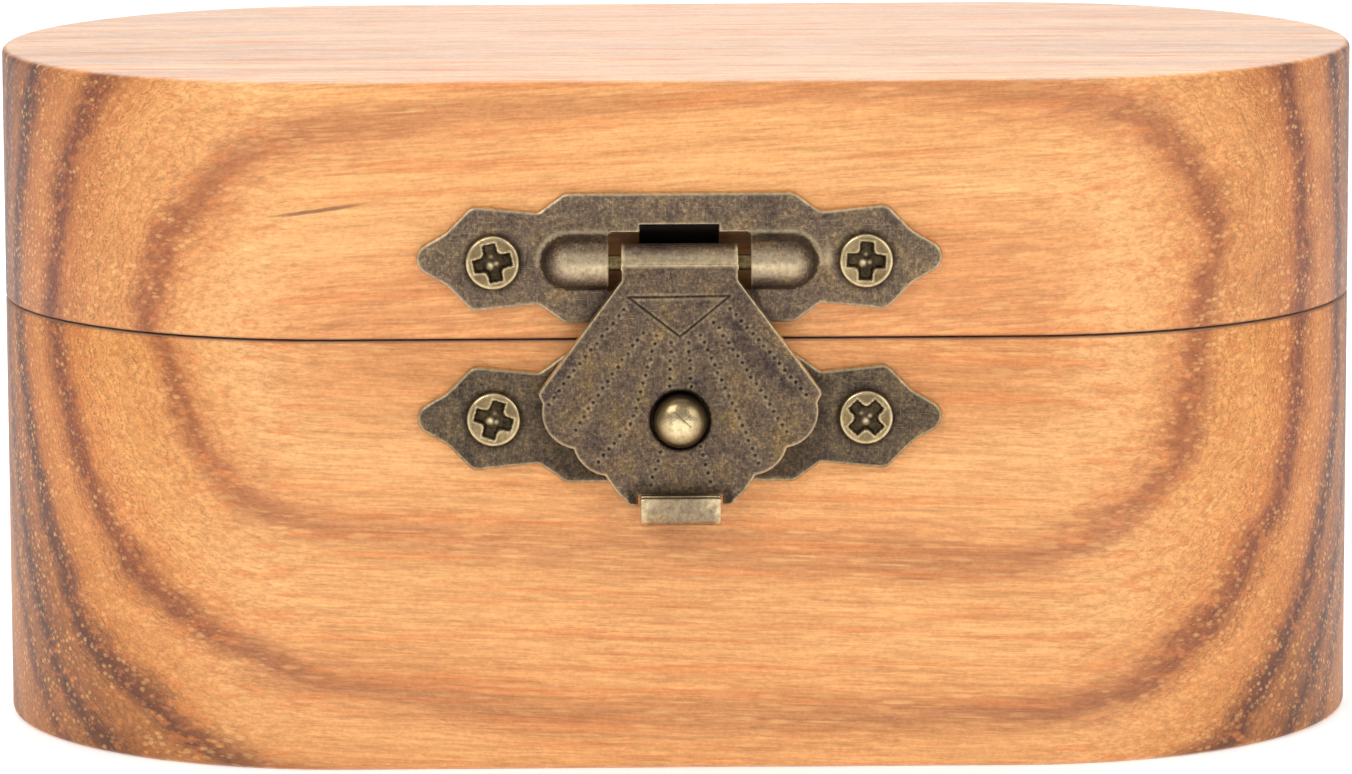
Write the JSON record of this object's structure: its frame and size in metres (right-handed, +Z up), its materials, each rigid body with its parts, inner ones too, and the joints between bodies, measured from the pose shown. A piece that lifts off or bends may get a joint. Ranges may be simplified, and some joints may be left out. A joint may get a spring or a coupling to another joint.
{
  "type": "guitar pick box",
  "caption": "Small obround wooden box with a hinged lid, closed by a shell-shaped hasp leaf over a domed knob, with butt hinges behind.",
  "frame": {"origin": "centre of the flat underside of the wooden base", "axes": "+X to the right along the box, +Z up, the latch faces -Y and the hinges face +Y"},
  "size_m": [0.07, 0.0409, 0.0349],
  "materials": {
    "base_wood": "satin oiled, figured grain along X",
    "lid_wood": "satin oiled, figured grain along X",
    "antique_brass": "antiqued, rubbed bright on the edges",
    "dark_antique_brass": "antiqued, darker, rubbed bright on the edges",
    "knob_brass": "polished dome with a dark rim",
    "pin_brass": "antiqued",
    "screw_brass": "satin with dark recess"
  },
  "bodies": {
    "base": {"base_shell": "base_wood", "lower_latch_plate": "dark_antique_brass", "catch_knob": "knob_brass", "latch_screw_lower_left": "screw_brass", "latch_screw_lower_right": "screw_brass", "left_hinge_base_leaf": "antique_brass", "left_hinge_pin": "pin_brass", "left_hinge_base_screw_1": "screw_brass", "left_hinge_base_screw_2": "screw_brass", "right_hinge_base_leaf": "antique_brass", "right_hinge_pin": "pin_brass", "right_hinge_base_screw_1": "screw_brass", "right_hinge_base_screw_2": "screw_brass"},
    "lid": {"lid_shell": "lid_wood", "upper_latch_plate": "antique_brass", "hasp_pin": "pin_brass", "latch_screw_upper_left": "screw_brass", "latch_screw_upper_right": "screw_brass", "left_hinge_lid_leaf": "antique_brass", "left_hinge_lid_screw_1": "screw_brass", "left_hinge_lid_screw_2": "screw_brass", "right_hinge_lid_leaf": "antique_brass", "right_hinge_lid_screw_1": "screw_brass", "right_hinge_lid_screw_2": "screw_brass"},
    "hasp": {"hasp_leaf": "antique_brass"}
  },
  "joints": [
    {"name": "lid_hinge", "type": "hinge", "parent": "base", "child": "lid", "pos_m": [0, 0.019, 0.0219], "axis": [-1, 0, 0], "range_deg": [0, 180]},
    {"name": "hasp_hinge", "type": "hinge", "parent": "lid", "child": "hasp", "pos_m": [-0.0002, -0.0187, 0.02587], "axis": [-1, 0, 0], "range_deg": [0, 140]}
  ]
}
